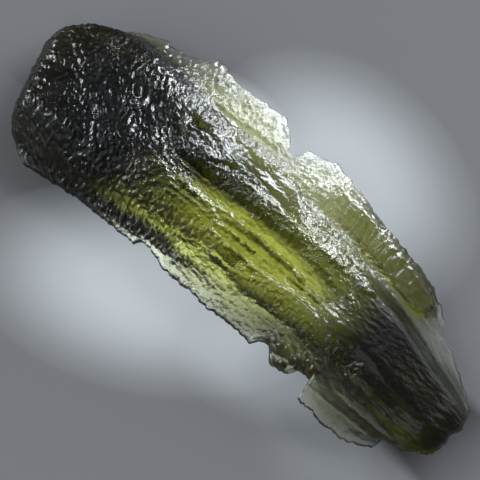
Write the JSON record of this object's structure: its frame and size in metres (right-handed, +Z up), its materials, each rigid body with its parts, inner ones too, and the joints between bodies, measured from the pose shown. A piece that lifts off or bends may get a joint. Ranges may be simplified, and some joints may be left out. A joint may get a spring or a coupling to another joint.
{
  "type": "moldavite",
  "caption": "Long flat blade of natural green glass, thick and pitted at one end, fluted at the blunt tip, with a thin broken rim; lies on a small flat spot on its back.",
  "frame": {"origin": "middle of the bounding box, on the surface that the blade rests on", "axes": "+X along the blade from the thick end to the tip, +Z up from the resting spot through the blade's thickness"},
  "size_m": [0.056, 0.023, 0.0084],
  "materials": {
    "green_glass": "natural glass, glossy and deeply pitted"
  },
  "bodies": {
    "root": {"moldavite": "green_glass"}
  },
  "joints": []
}
